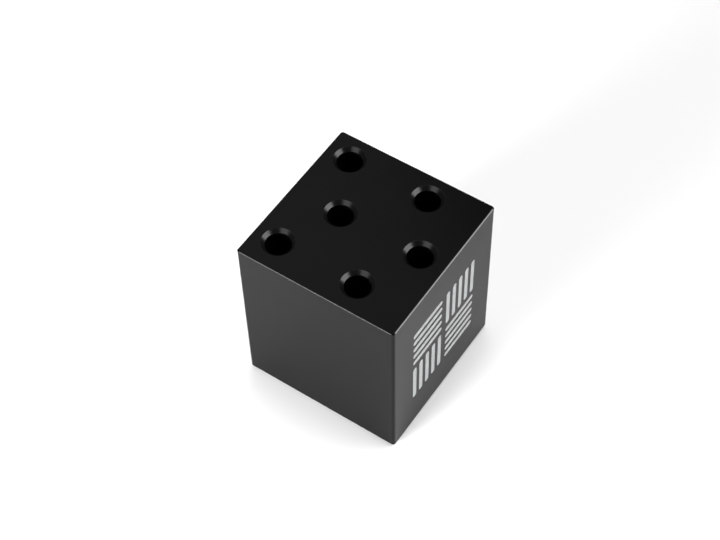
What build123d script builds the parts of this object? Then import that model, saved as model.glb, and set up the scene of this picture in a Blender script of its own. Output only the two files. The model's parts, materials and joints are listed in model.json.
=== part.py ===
from build123d import *
import math
import os

# Desk block that stands pens, pencils and slim tools upright in six blind bores.
#
# Millimetres, +Z up. The origin is at the centre of the footprint, on the desk.
# The side that carries the inlaid mark is the front and faces -Y.

# Block
SIDE = 70.0                     # square plan, along X and along Y
BLOCK_HEIGHT = 78.0
FOOT_LIFT = 1.2                 # gap that the feet leave under the block
CORNER_RADIUS = 1.2             # on the four upright edges
EDGE_CHAMFER = 0.4              # 45 degrees, round the top and bottom faces

# Bores
GRID = 11.9                     # unit of the staggered bore pattern
PATTERN_RIGHT = 0.6             # how far the middle of the pattern lies from the
PATTERN_BACK = 0.4              # middle of the block, towards +X and +Y
BORE_RADIUS = 5.15
BORE_DEPTH = 65.0               # from the top face to the shoulder of the drill point
DRILL_POINT_ANGLE = 118.0       # included angle
COUNTERSINK_WIDTH = 1.5         # measured in the top face, cut at 45 degrees
RIM_ROUND = 0.15                # edge break round both rims of a countersink

# Mark: four square panels of parallel slots, laid like parquet
SLOT_WIDTH = 2.4
SLOT_PITCH = 4.4
SLOTS_PER_PANEL = 5
PANEL_GAP = 3.0
POCKET_DEPTH = 0.30
INLAY_THICKNESS = 0.25

# Feet: bumpers bonded into round recesses in the underside
FOOT_INSET = 10.0               # from a side face to the centre of a foot
FOOT_RADIUS = 6.0
FOOT_ROUND = 0.6                # radius round the tread
DIMPLE_RADIUS = 2.5             # shallow hollow in the middle of the tread
DIMPLE_DEPTH = 0.4
RECESS_RADIUS = 6.4
RECESS_DEPTH = 1.6
ADHESIVE_RADIUS = 5.6
ADHESIVE_THICKNESS = 0.2

TOP = FOOT_LIFT + BLOCK_HEIGHT
FOOT_HEIGHT = FOOT_LIFT + RECESS_DEPTH - ADHESIVE_THICKNESS
FOOT_OFFSET = SIDE / 2 - FOOT_INSET
PANEL_SIDE = (SLOTS_PER_PANEL - 1) * SLOT_PITCH + SLOT_WIDTH
PANEL_OFFSET = (PANEL_SIDE + PANEL_GAP) / 2

# The front of the block as a drawing board, with its origin in the middle of the side.
FRONT = Plane(
    origin=(0, -SIDE / 2, FOOT_LIFT + BLOCK_HEIGHT / 2),
    x_dir=(1, 0, 0),
    z_dir=(0, -1, 0),
)

# Columns at the left, in the middle and at the right, each with a front and a rear bore.
# The middle column stands one grid unit nearer the front than the outer two.
BORE_CENTRES = [
    (PATTERN_RIGHT + column * 2 * GRID, PATTERN_BACK + (row + abs(column)) * GRID)
    for column in (-1, 0, 1)
    for row in (-2, 1)
]

# Each panel: how many half steps right and up it lies, and the angle of its slots.
PANELS = {
    "upper_left": (-1, 1, 0),
    "upper_right": (1, 1, 90),
    "lower_left": (-1, -1, 90),
    "lower_right": (1, -1, 0),
}

# Each foot: the corner of the footprint that it stands under.
FEET = {
    "front_left": (-1, -1),
    "front_right": (1, -1),
    "rear_left": (-1, 1),
    "rear_right": (1, 1),
}


def bore_tool():
    """One bore as a solid to cut away: drill point, straight wall and countersink."""
    point_depth = BORE_RADIUS / math.tan(math.radians(DRILL_POINT_ANGLE / 2))
    rim_radius = BORE_RADIUS + COUNTERSINK_WIDTH
    with BuildPart() as tool:
        with BuildSketch(Plane.XZ):
            with BuildLine():
                Polyline(
                    (0, TOP - BORE_DEPTH - point_depth),
                    (BORE_RADIUS, TOP - BORE_DEPTH),
                    (BORE_RADIUS, TOP - COUNTERSINK_WIDTH),
                    (rim_radius, TOP),
                    (0, TOP),
                    close=True,
                )
            make_face()
        revolve(axis=Axis.Z)
    return tool.part


def slots(panel):
    """The five parallel slots of one panel, drawn on the front of the block."""
    right, up, angle = PANELS[panel]
    with BuildSketch(FRONT) as sketch:
        centre = (right * PANEL_OFFSET, up * PANEL_OFFSET, 0)
        with Locations(Location(centre, (0, 0, angle))):
            with GridLocations(0, SLOT_PITCH, 1, SLOTS_PER_PANEL):
                SlotOverall(PANEL_SIDE, SLOT_WIDTH)
    return sketch.sketch


def foot_centre(corner, height):
    """The centre of a foot at a height above the desk."""
    right, back = FEET[corner]
    return (right * FOOT_OFFSET, back * FOOT_OFFSET, height)


def block():
    """The machined billet with its bores, the pockets of the mark and the foot recesses."""
    with BuildPart() as billet:
        with Locations((0, 0, FOOT_LIFT)):
            Box(SIDE, SIDE, BLOCK_HEIGHT, align=(Align.CENTER, Align.CENTER, Align.MIN))
        fillet(billet.edges().filter_by(Axis.Z), CORNER_RADIUS)
        levels = billet.edges().group_by(Axis.Z)
        chamfer(levels[0] + levels[-1], EDGE_CHAMFER)
        with Locations([(x, y, 0) for x, y in BORE_CENTRES]):
            add(bore_tool(), mode=Mode.SUBTRACT)
        circles = billet.edges().filter_by(GeomType.CIRCLE)
        rims = circles.filter_by_position(Axis.Z, TOP - COUNTERSINK_WIDTH, TOP)
        fillet(rims.filter_by(lambda rim: rim.radius > CORNER_RADIUS), RIM_ROUND)
        with Locations([foot_centre(corner, FOOT_LIFT) for corner in FEET]):
            Cylinder(
                RECESS_RADIUS,
                RECESS_DEPTH,
                align=(Align.CENTER, Align.CENTER, Align.MIN),
                mode=Mode.SUBTRACT,
            )
        for panel in PANELS:
            extrude(slots(panel), amount=-POCKET_DEPTH, mode=Mode.SUBTRACT)
    return billet.part


def inlay(panel):
    """The enamel in one panel's pockets, lying just below the face of the block."""
    floor = slots(panel).moved(Location((0, POCKET_DEPTH, 0)))
    with BuildPart() as fill:
        extrude(floor, amount=INLAY_THICKNESS)
    return fill.part


def foot(corner):
    """A rubber bumper with a rounded tread and a shallow dimple in the middle of it."""
    with BuildPart() as bumper:
        with Locations(foot_centre(corner, 0)):
            Cylinder(FOOT_RADIUS, FOOT_HEIGHT, align=(Align.CENTER, Align.CENTER, Align.MIN))
        fillet(bumper.edges().group_by(Axis.Z)[0], FOOT_ROUND)
        with Locations(foot_centre(corner, 0)):
            Cone(
                DIMPLE_RADIUS,
                DIMPLE_RADIUS - DIMPLE_DEPTH,
                DIMPLE_DEPTH,
                align=(Align.CENTER, Align.CENTER, Align.MIN),
                mode=Mode.SUBTRACT,
            )
    return bumper.part


def adhesive_discs():
    """The four discs that bond the feet to the floors of their recesses."""
    with BuildPart() as discs:
        with Locations([foot_centre(corner, FOOT_HEIGHT) for corner in FEET]):
            Cylinder(
                ADHESIVE_RADIUS,
                ADHESIVE_THICKNESS,
                align=(Align.CENTER, Align.CENTER, Align.MIN),
            )
    return discs.part


os.makedirs("parts", exist_ok=True)
export_step(block(), "parts/block.step")
for panel_name in PANELS:
    export_step(inlay(panel_name), f"parts/mark_inlay_{panel_name}.step")
for corner_name in FEET:
    export_step(foot(corner_name), f"parts/foot_{corner_name}.step")
export_step(adhesive_discs(), "parts/foot_adhesive_discs.step")
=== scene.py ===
import json
import math

import bmesh
import bpy
from mathutils import Matrix, Vector


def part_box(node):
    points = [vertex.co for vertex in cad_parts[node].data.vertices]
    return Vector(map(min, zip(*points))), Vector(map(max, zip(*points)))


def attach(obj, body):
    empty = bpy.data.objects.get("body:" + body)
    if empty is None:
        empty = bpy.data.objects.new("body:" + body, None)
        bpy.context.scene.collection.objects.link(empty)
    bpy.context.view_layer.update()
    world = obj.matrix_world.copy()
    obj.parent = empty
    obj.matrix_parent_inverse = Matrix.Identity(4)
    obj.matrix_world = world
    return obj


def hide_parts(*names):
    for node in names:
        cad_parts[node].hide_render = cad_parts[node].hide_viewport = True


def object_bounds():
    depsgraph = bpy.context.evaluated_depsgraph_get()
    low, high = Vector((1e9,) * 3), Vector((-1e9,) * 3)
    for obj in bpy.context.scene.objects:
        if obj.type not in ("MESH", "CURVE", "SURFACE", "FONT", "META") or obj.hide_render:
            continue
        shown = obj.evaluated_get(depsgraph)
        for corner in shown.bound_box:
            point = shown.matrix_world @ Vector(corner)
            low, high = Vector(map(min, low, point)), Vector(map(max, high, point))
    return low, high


# The look of a satin black desk block with six bores and a pale parquet mark on its front.
# Metres, +Z up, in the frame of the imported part.

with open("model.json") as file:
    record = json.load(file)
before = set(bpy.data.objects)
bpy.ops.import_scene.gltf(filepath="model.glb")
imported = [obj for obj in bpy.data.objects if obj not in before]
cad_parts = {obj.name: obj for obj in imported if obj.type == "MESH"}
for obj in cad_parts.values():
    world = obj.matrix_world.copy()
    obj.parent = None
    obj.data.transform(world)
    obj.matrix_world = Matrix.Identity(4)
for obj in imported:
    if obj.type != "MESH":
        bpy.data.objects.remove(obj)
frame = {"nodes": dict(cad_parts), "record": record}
CAD_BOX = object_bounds()

MM = 0.001

# Bores, from the record's mounts: each stands upright, so only its place in plan matters
BORES = [mount for mount in frame["record"]["mounts"] if mount["kind"] == "bore"]
BORE_CENTRES = [tuple(mount["pos_m"][:2]) for mount in BORES]
BORE_RADIUS = BORES[0]["dims"]["r_mm"] * MM
COUNTERSINK_WIDTH = 1.5 * MM

# The block's outside, and its broken edges
BLOCK_LOW, BLOCK_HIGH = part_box("block")
BLOCK_MIDDLE = (BLOCK_LOW + BLOCK_HIGH) / 2
BLOCK_HALF = (BLOCK_HIGH - BLOCK_LOW) / 2
TOP = BLOCK_HIGH.z
EDGE_CHAMFER = 0.4 * MM
CORNER_RADIUS = 1.2 * MM

# Mark: panels of parallel slots, and the axis along which each panel's slots run
FRONT = BLOCK_LOW.y
PANELS = {"upper_left": "X", "upper_right": "Z", "lower_left": "Z", "lower_right": "X"}
SLOTS_PER_PANEL = 5
SLOT_WIDTH = 2.4 * MM
POCKET_DEPTH = 0.30 * MM

FEET = ("front_left", "front_right", "rear_left", "rear_right")

# Camera
LENS = 81.76                         # on a 36 mm wide sensor
VIEW_TURN = math.radians(54.69)      # from +Y towards +X
VIEW_DOWN = math.radians(53.79)
VIEW_ROLL = math.radians(-1.77)
VIEW_DISTANCE = 649.6 * MM
VIEW_AIM = Vector((6.28, 8.06, 0.0)) * MM    # from the middle of the part


# Node trees

class Nodes:
    """A short way to add and link shader nodes in one material or world."""

    def __init__(self, owner):
        owner.use_nodes = True
        self.tree = owner.node_tree
        self.tree.nodes.clear()

    def add(self, kind, inputs=None, **settings):
        node = self.tree.nodes.new(kind)
        for name, value in settings.items():
            setattr(node, name, value)
        for name, value in (inputs or {}).items():
            self.feed(node.inputs[name], value)
        return node

    def feed(self, socket, value):
        if isinstance(value, bpy.types.NodeSocket):
            self.tree.links.new(value, socket)
        else:
            socket.default_value = value

    def math(self, operation, *values):
        inputs = dict(enumerate(values))
        return self.add("ShaderNodeMath", inputs, operation=operation).outputs[0]

    def ramp(self, value, low, high, start=0.0, end=1.0):
        """The value mapped from low..high to start..end, smoothly and clamped."""
        inputs = {"Value": value, 1: low, 2: high, 3: start, 4: end}
        node = self.add("ShaderNodeMapRange", inputs, interpolation_type="SMOOTHSTEP")
        return node.outputs["Result"]

    def place(self):
        """The point on the surface, in metres, in the frame of the part."""
        return self.add("ShaderNodeTexCoord").outputs["Object"]

    def noise(self, size, detail=2.0, roughness=0.5):
        """Cloudy variation from 0 to 1 whose blobs are about size metres across."""
        inputs = {"Vector": self.place(), "Scale": 1.0 / size, "Detail": detail, "Roughness": roughness}
        return self.add("ShaderNodeTexNoise", inputs).outputs["Fac"]

    def mix(self, factor, start, end):
        node = self.add("ShaderNodeMix", data_type="RGBA")
        self.feed(node.inputs["Factor"], factor)
        colours = [socket for socket in node.inputs if socket.type == "RGBA"]
        self.feed(colours[0], start)
        self.feed(colours[1], end)
        return [socket for socket in node.outputs if socket.type == "RGBA"][0]

    def bump(self, height, depth, strength=1.0):
        """A normal from a height of 0 to 1 that stands for depth metres of relief."""
        inputs = {"Height": height, "Distance": depth, "Strength": strength}
        return self.add("ShaderNodeBump", inputs).outputs["Normal"]

    def finish(self, inputs):
        shader = self.add("ShaderNodeBsdfPrincipled", inputs)
        self.add("ShaderNodeOutputMaterial", {"Surface": shader.outputs[0]})


def material(name):
    made = bpy.data.materials.new(name)
    return made, Nodes(made)


def grey(level):
    return (level, level, level, 1.0)


# Stage, lights and camera

def floor_material():
    made, n = material("floor_white")
    shader = n.add("ShaderNodeBsdfDiffuse", {"Color": grey(0.9)})
    n.add("ShaderNodeOutputMaterial", {"Surface": shader.outputs[0]})
    return made


def make_floor():
    """A round floor, so wide that its edge lies near the horizon."""
    radius = 6.0
    mesh = bpy.data.meshes.new("floor")
    bm = bmesh.new()
    bmesh.ops.create_circle(bm, cap_ends=True, segments=96, radius=radius)
    bm.to_mesh(mesh)
    bm.free()
    floor = bpy.data.objects.new("floor", mesh)
    bpy.context.scene.collection.objects.link(floor)
    mesh.materials.append(floor_material())


def make_world():
    """An even white backdrop that only the camera sees: the lamps and reflectors do the lighting."""
    world = bpy.data.worlds.new("studio")
    bpy.context.scene.world = world
    n = Nodes(world)
    background = n.add("ShaderNodeBackground", {"Color": grey(1.0), "Strength": 1.0})
    n.add("ShaderNodeOutputWorld", {"Surface": background.outputs[0]})
    world.cycles_visibility.diffuse = False
    world.cycles_visibility.glossy = False


def add_light(name, data, place, target):
    light = bpy.data.objects.new(name, data)
    light.location = place
    light.rotation_euler = (target - place).to_track_quat("-Z", "Y").to_euler()
    bpy.context.scene.collection.objects.link(light)
    return light


def direction(azimuth, elevation):
    """The unit vector towards an azimuth and elevation in degrees: 0 is +X, 90 is +Y."""
    across = math.cos(math.radians(elevation))
    return Vector(
        (
            math.cos(math.radians(azimuth)) * across,
            math.sin(math.radians(azimuth)) * across,
            math.sin(math.radians(elevation)),
        )
    )


def reflector(name, azimuth, elevation, width, height, radiance):
    """A lit card that faces the top of the block and shows only in gloss.

    Its width and height are the angles that it spans from there, in degrees.
    """
    distance = 0.9
    target = Vector((0.0, 0.0, TOP))
    data = bpy.data.lights.new(name, "AREA")
    data.shape = "RECTANGLE"
    data.size = 2 * distance * math.tan(math.radians(width / 2))
    data.size_y = 2 * distance * math.tan(math.radians(height / 2))
    data.energy = radiance * math.pi * data.size * data.size_y
    card = add_light(name, data, target + direction(azimuth, elevation) * distance, target)
    card.visible_diffuse = False


def soft_sun(name, azimuth, elevation, energy):
    """A wide soft light from far away that does not show in gloss."""
    spread = math.radians(60)
    data = bpy.data.lights.new(name, "SUN")
    data.angle = spread
    data.energy = energy
    light = add_light(name, data, direction(azimuth, elevation), Vector((0.0, 0.0, 0.0)))
    light.visible_glossy = False


def soft_globe(name, azimuth, elevation, energy):
    """A lit globe close to the block that does not show in gloss."""
    radius = 0.12
    distance = 0.5
    data = bpy.data.lights.new(name, "POINT")
    data.shadow_soft_size = radius
    data.energy = energy
    target = Vector((0.0, 0.0, 0.0))
    light = add_light(name, data, direction(azimuth, elevation) * distance, target)
    light.visible_glossy = False


def make_lights():
    reflector("reflector_front", azimuth=-67, elevation=23, width=46, height=36, radiance=3.1)
    reflector("reflector_left", azimuth=168, elevation=31, width=42, height=38, radiance=1.0)
    reflector("reflector_rear", azimuth=60, elevation=54, width=40, height=36, radiance=1.35)
    soft_globe("globe_left", azimuth=166, elevation=16, energy=22.4)
    soft_sun("soft_top", azimuth=0, elevation=70, energy=2.05)
    soft_sun("soft_right", azimuth=315, elevation=50, energy=1.8)


def make_camera():
    data = bpy.data.cameras.new("camera")
    data.lens = LENS
    camera = bpy.data.objects.new("camera", data)
    across = math.cos(VIEW_DOWN)
    look = Vector(
        (math.sin(VIEW_TURN) * across, math.cos(VIEW_TURN) * across, -math.sin(VIEW_DOWN))
    )
    low, high = (Vector(corner) for corner in CAD_BOX)
    aim = (low + high) / 2 + VIEW_AIM
    turn = look.to_track_quat("-Z", "Y").to_matrix() @ Matrix.Rotation(VIEW_ROLL, 3, "Z")
    camera.matrix_world = Matrix.Translation(aim - look * VIEW_DISTANCE) @ turn.to_4x4()
    bpy.context.scene.collection.objects.link(camera)
    bpy.context.scene.camera = camera


# Materials

def nearest_bore(n, x, y):
    """The distance in plan to the nearest bore's axis."""
    plan = n.add("ShaderNodeCombineXYZ", {"X": x, "Y": y, "Z": 0.0}).outputs[0]
    nearest = None
    for centre in BORE_CENTRES:
        gap = n.add("ShaderNodeVectorMath", {0: plan, 1: (*centre, 0.0)}, operation="DISTANCE")
        gap = gap.outputs["Value"]
        nearest = gap if nearest is None else n.math("MINIMUM", nearest, gap)
    return nearest


def turned_band(n, gap, z):
    """1 on the countersinks, 0 elsewhere."""
    rim = BORE_RADIUS + COUNTERSINK_WIDTH
    soft = 0.05 * MM
    near = n.ramp(gap, rim - soft, rim + soft, 1.0, 0.0)
    above = n.ramp(z, TOP - COUNTERSINK_WIDTH - soft, TOP - COUNTERSINK_WIDTH + soft)
    return n.math("MULTIPLY", near, above)


def painted_edge_highlight(n, x, y, z):
    """Painted highlight: 0 to 1 across the chamfers round the top and bottom, most at the rim of a side
    face.

    The front and rear strips lie further in on the top and reach less strength than the left and right
    ones, following their highlight lines. All fade out round the upright corners.
    """
    out_x = n.math("ABSOLUTE", x)
    out_y = n.math("ABSOLUTE", y)
    out_z = n.math("ABSOLUTE", n.math("SUBTRACT", z, BLOCK_MIDDLE.z))

    side = BLOCK_HALF.x
    wider = 0.35 * EDGE_CHAMFER
    narrower = 0.27 * EDGE_CHAMFER
    wide_peak = 0.7
    front_rear = n.ramp(out_y, side - EDGE_CHAMFER - wider, side - wider, 0.0, wide_peak)
    left_right = n.ramp(out_x, side - EDGE_CHAMFER + narrower, side + narrower)
    rim = n.math("MAXIMUM", front_rear, left_right)

    start = side - 1.4 * CORNER_RADIUS
    stop = side - 0.7 * CORNER_RADIUS
    straight = n.ramp(n.math("MINIMUM", out_x, out_y), start, stop, 1.0, 0.0)

    chamfer_level = BLOCK_HALF.z - EDGE_CHAMFER
    soft = 0.05 * MM
    end = n.ramp(out_z, chamfer_level - soft, chamfer_level + soft)
    return n.math("MULTIPLY", n.math("MULTIPLY", rim, end), straight)


def anodised_black():
    """Dyed anodising over a fine bead blast, turned in the countersinks, with painted highlight strips
    of lighter metal along the top and bottom edges.
    """
    made, n = material("anodised_black")
    split = n.add("ShaderNodeSeparateXYZ", {0: n.place()})
    x, y, z = split.outputs
    gap = nearest_bore(n, x, y)
    band = turned_band(n, gap, z)
    # Mask of the painted highlight strips along the top and bottom edges
    edge_highlight = painted_edge_highlight(n, x, y, z)

    groove_pitch = 0.14 * MM
    turns = n.math("MULTIPLY", gap, 2 * math.pi / groove_pitch)
    grooves = n.math("MULTIPLY_ADD", n.math("SINE", turns), 0.5, 0.5)
    blast = n.noise(0.16 * MM, detail=1.0)
    grooved = n.math("MULTIPLY", grooves, band)
    blasted = n.math("MULTIPLY", blast, n.math("SUBTRACT", 1.0, band))
    relief = n.math("ADD", grooved, blasted)

    clouds = n.noise(22.0 * MM, detail=3.0)
    deep_black = grey(0.002)
    turned_metal = grey(0.061)
    # Edge strip colour: lighter metal that paints the highlight lines along the top and bottom edges
    highlight_metal = grey(0.24)
    turned_metallic = 0.93
    dye = n.mix(band, deep_black, turned_metal)
    n.finish(
        {
            "Base Color": n.mix(edge_highlight, dye, highlight_metal),
            "Metallic": n.math("MAXIMUM", n.math("MULTIPLY", band, turned_metallic), edge_highlight),
            "Roughness": n.ramp(clouds, 0.3, 0.7, 0.23, 0.26),
            "IOR": 1.17,
            "Normal": n.bump(relief, 0.003 * MM),
        }
    )
    return made


def enamel():
    """Pale silver-grey enamel with a faint mottle and a softly rippled gloss."""
    made, n = material("inlay_enamel")
    mottle = n.ramp(n.noise(1.6 * MM, detail=4.0, roughness=0.6), 0.3, 0.7)
    n.finish(
        {
            "Base Color": n.mix(mottle, (0.475, 0.495, 0.495, 1.0), (0.52, 0.54, 0.54, 1.0)),
            "Roughness": n.ramp(n.noise(0.8 * MM), 0.3, 0.7, 0.30, 0.42),
            "Normal": n.bump(n.noise(0.5 * MM), 0.01 * MM),
        }
    )
    return made


def rubber():
    """Moulded black rubber: a fine matt texture with a little dust in it."""
    made, n = material("foot_rubber")
    dust = n.ramp(n.noise(1.2 * MM, detail=5.0, roughness=0.7), 0.55, 0.8)
    n.finish(
        {
            "Base Color": n.mix(dust, grey(0.018), grey(0.040)),
            "Roughness": n.ramp(dust, 0.0, 1.0, 0.72, 0.88),
            "Normal": n.bump(n.noise(0.25 * MM, detail=3.0), 0.02 * MM),
        }
    )
    return made


def adhesive_film():
    """Cloudy acrylic film, slightly yellow, with fine trapped bubbles."""
    made, n = material("adhesive")
    clouds = n.ramp(n.noise(1.5 * MM, detail=4.0), 0.35, 0.7)
    bubbles = n.add("ShaderNodeTexVoronoi", {"Vector": n.place(), "Scale": 1.0 / (0.9 * MM)})
    dome = n.ramp(bubbles.outputs["Distance"], 0.15, 0.3, 1.0, 0.0)
    n.finish(
        {
            "Base Color": n.mix(clouds, (0.66, 0.62, 0.50, 1.0), (0.78, 0.75, 0.65, 1.0)),
            "Roughness": n.ramp(clouds, 0.0, 1.0, 0.40, 0.55),
            "Normal": n.bump(dome, 0.01 * MM),
        }
    )
    return made


def give_material(node, made):
    """Give a CAD node its material."""
    data = frame["nodes"][node].data
    data.materials.clear()
    data.materials.append(made)


# Inlays: enamel poured into the pockets, which climbs their walls and sinks in the middle

def stadium(centre, along, half_length, half_width):
    """A slot's outline in the plane of the front, as pairs (X, Z), with round ends."""
    segments = 16
    straight = half_length - half_width
    outline = []
    for end in (1, -1):
        for step in range(segments + 1):
            angle = math.pi * (step / segments - 0.5)
            across = half_width * math.sin(angle) * end
            reach = (straight + half_width * math.cos(angle)) * end
            if along == "X":
                outline.append((centre[0] + reach, centre[1] + across))
            else:
                outline.append((centre[0] - across, centre[1] + reach))
    return outline


def fill_depth(inset):
    """How far the enamel lies below the face of the block at a distance from the pocket's wall."""
    at_wall = 0.015 * MM
    in_middle = 0.09 * MM
    climb = 0.28 * MM
    return in_middle - (in_middle - at_wall) * math.exp(-inset / climb)


def add_fill(bm, centre, along, half_length):
    """One slot's enamel as a closed solid. Its rings lie closest together at the pocket's wall."""
    half_width = SLOT_WIDTH / 2
    steps = 9
    crowding = 1.6
    insets = [half_width * (step / steps) ** crowding for step in range(steps)]
    levels = [(0.0, POCKET_DEPTH)] + [(inset, fill_depth(inset)) for inset in insets]
    rings = []
    for inset, depth in levels:
        outline = stadium(centre, along, half_length - inset, half_width - inset)
        rings.append([bm.verts.new((x, FRONT + depth, z)) for x, z in outline])
    count = len(rings[0])
    for outer, inner in zip(rings, rings[1:]):
        for k in range(count):
            after = (k + 1) % count
            bm.faces.new((outer[k], outer[after], inner[after], inner[k]))
    bm.faces.new(rings[0][::-1])
    bm.faces.new(rings[-1])


def make_inlay(panel, made):
    """A panel's five fills, which stand for the plain prisms of the CAD node."""
    node = f"mark_inlay_{panel}"
    low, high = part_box(node)
    middle = (low + high) / 2
    half_length = (high.x - low.x) / 2
    pitch = (2 * half_length - SLOT_WIDTH) / (SLOTS_PER_PANEL - 1)
    along = PANELS[panel]
    bm = bmesh.new()
    for slot in range(SLOTS_PER_PANEL):
        offset = (slot - (SLOTS_PER_PANEL - 1) / 2) * pitch
        if along == "X":
            centre = (middle.x, middle.z + offset)
        else:
            centre = (middle.x + offset, middle.z)
        add_fill(bm, centre, along, half_length)
    bmesh.ops.recalc_face_normals(bm, faces=bm.faces)
    mesh = bpy.data.meshes.new(f"enamel_{panel}")
    bm.to_mesh(mesh)
    bm.free()
    sharp_from = math.radians(50)
    mesh.shade_smooth()
    mesh.set_sharp_from_angle(angle=sharp_from)
    mesh.materials.append(made)
    piece = bpy.data.objects.new(f"enamel_{panel}", mesh)
    bpy.context.scene.collection.objects.link(piece)
    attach(piece, "root")
    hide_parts(node)


bpy.context.scene.view_settings.view_transform = "Standard"
make_floor()
make_world()
make_lights()
make_camera()

give_material("block", anodised_black())
enamel_look = enamel()
for panel_name in PANELS:
    make_inlay(panel_name, enamel_look)
rubber_look = rubber()
for corner_name in FEET:
    give_material(f"foot_{corner_name}", rubber_look)
give_material("foot_adhesive_discs", adhesive_film())
